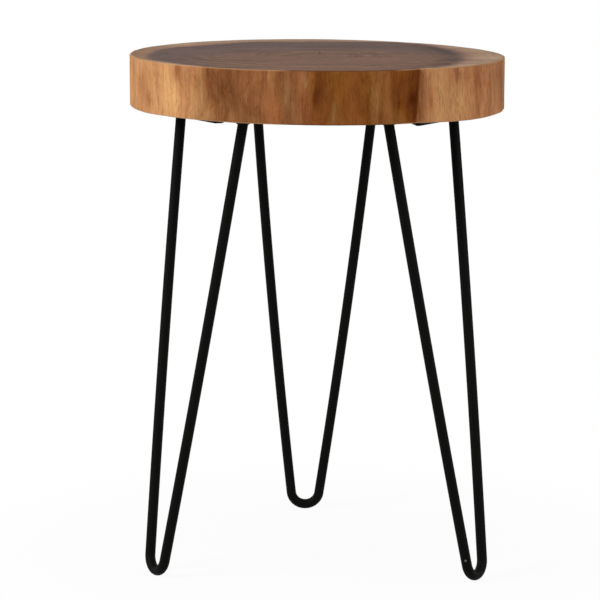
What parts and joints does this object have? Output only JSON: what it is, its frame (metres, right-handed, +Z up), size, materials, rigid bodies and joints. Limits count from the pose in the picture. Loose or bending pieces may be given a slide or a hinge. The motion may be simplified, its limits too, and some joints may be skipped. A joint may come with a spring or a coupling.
{
  "type": "accent table",
  "caption": "Rustic side table: a thick live-edge slice of tree trunk screwed to black steel hairpin legs through welded mounting plates.",
  "frame": {"origin": "on the floor, in the middle of the circle that the three legs stand on", "axes": "+Z up, -Y to the front, where the flute in the trunk shows, and +X to the table's right as seen from the front"},
  "size_m": [0.3698, 0.3702, 0.508],
  "materials": {
    "slab": "oiled, debarked and sanded",
    "leg_rod": "black satin powder coat on round steel rod",
    "leg_plate": "black satin powder coat on flat steel",
    "leg_weld": "black satin powder coat over a weld bead",
    "screw": "black oxide"
  },
  "bodies": {
    "root": {"top_slab": "slab", "left_leg_rod": "leg_rod", "left_leg_plate": "leg_plate", "left_leg_weld_1": "leg_weld", "left_leg_weld_2": "leg_weld", "left_leg_screw_1": "screw", "left_leg_screw_2": "screw", "left_leg_screw_3": "screw", "left_leg_screw_4": "screw", "right_leg_rod": "leg_rod", "right_leg_plate": "leg_plate", "right_leg_weld_1": "leg_weld", "right_leg_weld_2": "leg_weld", "right_leg_screw_1": "screw", "right_leg_screw_2": "screw", "right_leg_screw_3": "screw", "right_leg_screw_4": "screw", "back_leg_rod": "leg_rod", "back_leg_plate": "leg_plate", "back_leg_weld_1": "leg_weld", "back_leg_weld_2": "leg_weld", "back_leg_screw_1": "screw", "back_leg_screw_2": "screw", "back_leg_screw_3": "screw", "back_leg_screw_4": "screw"}
  },
  "joints": []
}
